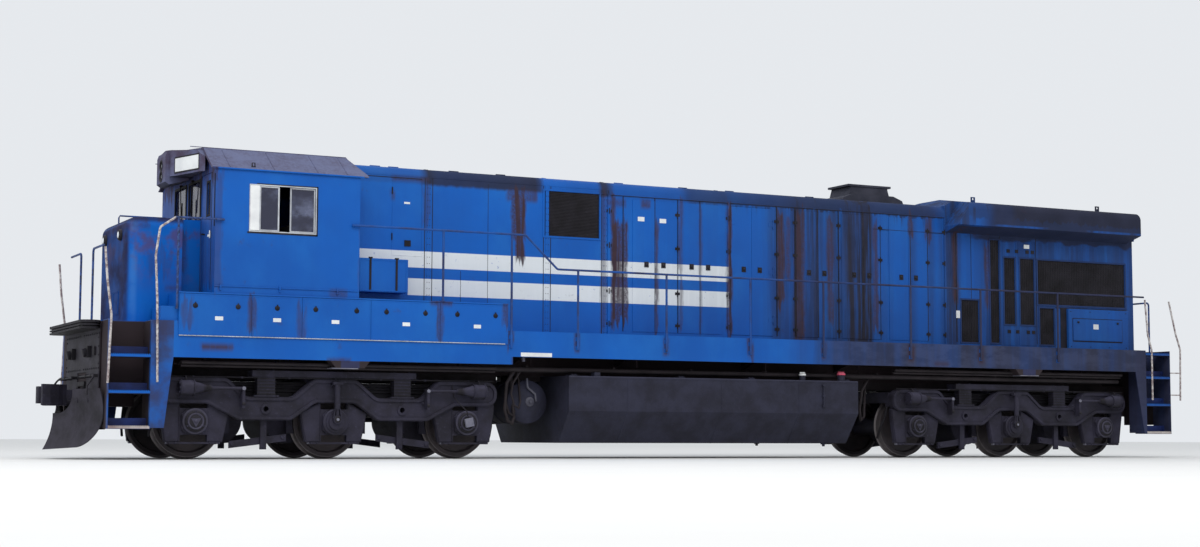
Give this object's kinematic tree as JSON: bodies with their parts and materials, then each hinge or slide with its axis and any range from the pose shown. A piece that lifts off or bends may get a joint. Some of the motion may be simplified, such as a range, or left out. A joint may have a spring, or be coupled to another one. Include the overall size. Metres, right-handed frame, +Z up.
{
  "type": "diesel locomotive",
  "caption": "Diesel road locomotive with a low nose, side walkways, a long engine hood and two three-axle swivelling trucks, for running on rails.",
  "frame": {"origin": "middle of the footprint, at the bottom of the wheel flanges", "axes": "+X towards the radiator end, +Y towards the right side when facing the nose from the cab's far side, +Z up"},
  "size_m": [20.498, 3.1194, 4.7534],
  "materials": {
    "blue_paint": "weathered",
    "grey_paint": "weathered",
    "white_paint": "worn",
    "black_steel": "sooty",
    "truck_steel": "grimy",
    "wheel_steel": "rolled",
    "clear_glass": "clear",
    "battery_case": "matte",
    "seat_trim": "worn"
  },
  "bodies": {
    "body": {"underframe": "blue_paint", "front_steps": "blue_paint", "rear_steps": "blue_paint", "plow": "black_steel", "anticlimber": "blue_paint", "side_boxes": "blue_paint", "batteries": "battery_case", "cab_floor": "blue_paint", "cab_left_wall": "blue_paint", "cab_right_wall": "blue_paint", "cab_front_wall": "blue_paint", "cab_rear_wall": "blue_paint", "cab_roof": "grey_paint", "headlight_housing": "blue_paint", "cab_windows": "clear_glass", "cab_fittings": "seat_trim", "nose": "blue_paint", "equipment_hood": "blue_paint", "engine_hood": "blue_paint", "engine": "black_steel", "radiator_hood": "blue_paint", "screens": "black_steel", "exhaust_stack": "grey_paint", "fuel_tank": "black_steel", "air_reservoirs": "black_steel", "handrail_left": "blue_paint", "handrail_right": "blue_paint", "grab_irons": "white_paint"},
    "front_truck": {"truck_frame_front": "truck_steel", "journal_boxes_front": "truck_steel", "truck_bolster_front": "truck_steel", "brake_gear_front": "truck_steel", "traction_motors_front": "truck_steel"},
    "wheelset_1_body": {"wheelset_1": "wheel_steel"},
    "wheelset_2_body": {"wheelset_2": "wheel_steel"},
    "wheelset_3_body": {"wheelset_3": "wheel_steel"},
    "front_coupler": {"coupler_front": "truck_steel"},
    "front_knuckle": {"knuckle_front": "truck_steel"},
    "rear_truck": {"truck_frame_rear": "truck_steel", "journal_boxes_rear": "truck_steel", "truck_bolster_rear": "truck_steel", "brake_gear_rear": "truck_steel", "traction_motors_rear": "truck_steel"},
    "wheelset_4_body": {"wheelset_4": "wheel_steel"},
    "wheelset_5_body": {"wheelset_5": "wheel_steel"},
    "wheelset_6_body": {"wheelset_6": "wheel_steel"},
    "rear_coupler": {"coupler_rear": "truck_steel"},
    "rear_knuckle": {"knuckle_rear": "truck_steel"},
    "cab_front_door_body": {"cab_front_door": "blue_paint"},
    "cab_rear_door_body": {"cab_rear_door": "blue_paint"},
    "side_box_door_1_body": {"side_box_door_1": "blue_paint"},
    "side_box_door_2_body": {"side_box_door_2": "blue_paint"},
    "side_box_door_3_body": {"side_box_door_3": "blue_paint"},
    "side_box_door_4_body": {"side_box_door_4": "blue_paint"},
    "side_box_door_5_body": {"side_box_door_5": "blue_paint"},
    "engine_door_left_front_body": {"engine_door_left_front": "blue_paint"},
    "engine_door_left_rear_body": {"engine_door_left_rear": "blue_paint"},
    "engine_door_right_front_body": {"engine_door_right_front": "blue_paint"},
    "engine_door_right_rear_body": {"engine_door_right_rear": "blue_paint"}
  },
  "joints": [
    {"name": "front_truck_swivel", "type": "hinge", "parent": "body", "child": "front_truck", "pos_m": [-6.235, 0, 1.2686], "axis": [0, 0, 1], "range_deg": [-4, 4]},
    {"name": "axle_1", "type": "hinge", "parent": "front_truck", "child": "wheelset_1_body", "pos_m": [-8.305, 0, 0.5366], "axis": [0, 1, 0], "continuous": true},
    {"name": "axle_2", "type": "hinge", "parent": "front_truck", "child": "wheelset_2_body", "pos_m": [-6.235, 0, 0.5366], "axis": [0, 1, 0], "continuous": true},
    {"name": "axle_3", "type": "hinge", "parent": "front_truck", "child": "wheelset_3_body", "pos_m": [-4.165, 0, 0.5366], "axis": [0, 1, 0], "continuous": true},
    {"name": "front_coupler_swing", "type": "hinge", "parent": "body", "child": "front_coupler", "pos_m": [-9.25, 0, 0.9046], "axis": [0, 0, 1], "range_deg": [-6, 6]},
    {"name": "front_knuckle_open", "type": "hinge", "parent": "front_coupler", "child": "front_knuckle", "pos_m": [-10.1, 0.112, 0.9046], "axis": [0, 0, -1], "range_deg": [0, 50]},
    {"name": "rear_truck_swivel", "type": "hinge", "parent": "body", "child": "rear_truck", "pos_m": [6.235, 0, 1.2686], "axis": [0, 0, 1], "range_deg": [-4, 4]},
    {"name": "axle_4", "type": "hinge", "parent": "rear_truck", "child": "wheelset_4_body", "pos_m": [4.165, 0, 0.5366], "axis": [0, 1, 0], "continuous": true},
    {"name": "axle_5", "type": "hinge", "parent": "rear_truck", "child": "wheelset_5_body", "pos_m": [6.235, 0, 0.5366], "axis": [0, 1, 0], "continuous": true},
    {"name": "axle_6", "type": "hinge", "parent": "rear_truck", "child": "wheelset_6_body", "pos_m": [8.305, 0, 0.5366], "axis": [0, 1, 0], "continuous": true},
    {"name": "rear_coupler_swing", "type": "hinge", "parent": "body", "child": "rear_coupler", "pos_m": [9.25, 0, 0.9046], "axis": [0, 0, 1], "range_deg": [-6, 6]},
    {"name": "rear_knuckle_open", "type": "hinge", "parent": "rear_coupler", "child": "rear_knuckle", "pos_m": [10.1, -0.112, 0.9046], "axis": [0, 0, -1], "range_deg": [0, 50]},
    {"name": "cab_front_door_hinge", "type": "hinge", "parent": "body", "child": "cab_front_door_body", "pos_m": [-8.095, -1.274, 3.2141], "axis": [0, 0, -1], "range_deg": [0, 90]},
    {"name": "cab_rear_door_hinge", "type": "hinge", "parent": "body", "child": "cab_rear_door_body", "pos_m": [-6.064, 1.429, 3.2141], "axis": [0, 0, -1], "range_deg": [0, 90]},
    {"name": "side_box_door_1_hinge", "type": "hinge", "parent": "body", "child": "side_box_door_1_body", "pos_m": [-8.13, -1.5383, 1.7226], "axis": [1, 0, 0], "range_deg": [0, 90]},
    {"name": "side_box_door_2_hinge", "type": "hinge", "parent": "body", "child": "side_box_door_2_body", "pos_m": [-7.24, -1.5383, 1.7226], "axis": [1, 0, 0], "range_deg": [0, 90]},
    {"name": "side_box_door_3_hinge", "type": "hinge", "parent": "body", "child": "side_box_door_3_body", "pos_m": [-6.35, -1.5383, 1.7226], "axis": [1, 0, 0], "range_deg": [0, 90]},
    {"name": "side_box_door_4_hinge", "type": "hinge", "parent": "body", "child": "side_box_door_4_body", "pos_m": [-5.2875, -1.5383, 1.7226], "axis": [1, 0, 0], "range_deg": [0, 90]},
    {"name": "side_box_door_5_hinge", "type": "hinge", "parent": "body", "child": "side_box_door_5_body", "pos_m": [-4.1925, -1.5383, 1.7226], "axis": [1, 0, 0], "range_deg": [0, 90]},
    {"name": "engine_door_left_front_hinge", "type": "hinge", "parent": "body", "child": "engine_door_left_front_body", "pos_m": [0.642, -0.9, 3.0736], "axis": [0, 0, -1], "range_deg": [0, 90]},
    {"name": "engine_door_left_rear_hinge", "type": "hinge", "parent": "body", "child": "engine_door_left_rear_body", "pos_m": [1.48, -0.9, 3.0736], "axis": [0, 0, 1], "range_deg": [0, 90]},
    {"name": "engine_door_right_front_hinge", "type": "hinge", "parent": "body", "child": "engine_door_right_front_body", "pos_m": [0.642, 0.9, 3.0736], "axis": [0, 0, 1], "range_deg": [0, 90]},
    {"name": "engine_door_right_rear_hinge", "type": "hinge", "parent": "body", "child": "engine_door_right_rear_body", "pos_m": [1.48, 0.9, 3.0736], "axis": [0, 0, -1], "range_deg": [0, 90]}
  ]
}
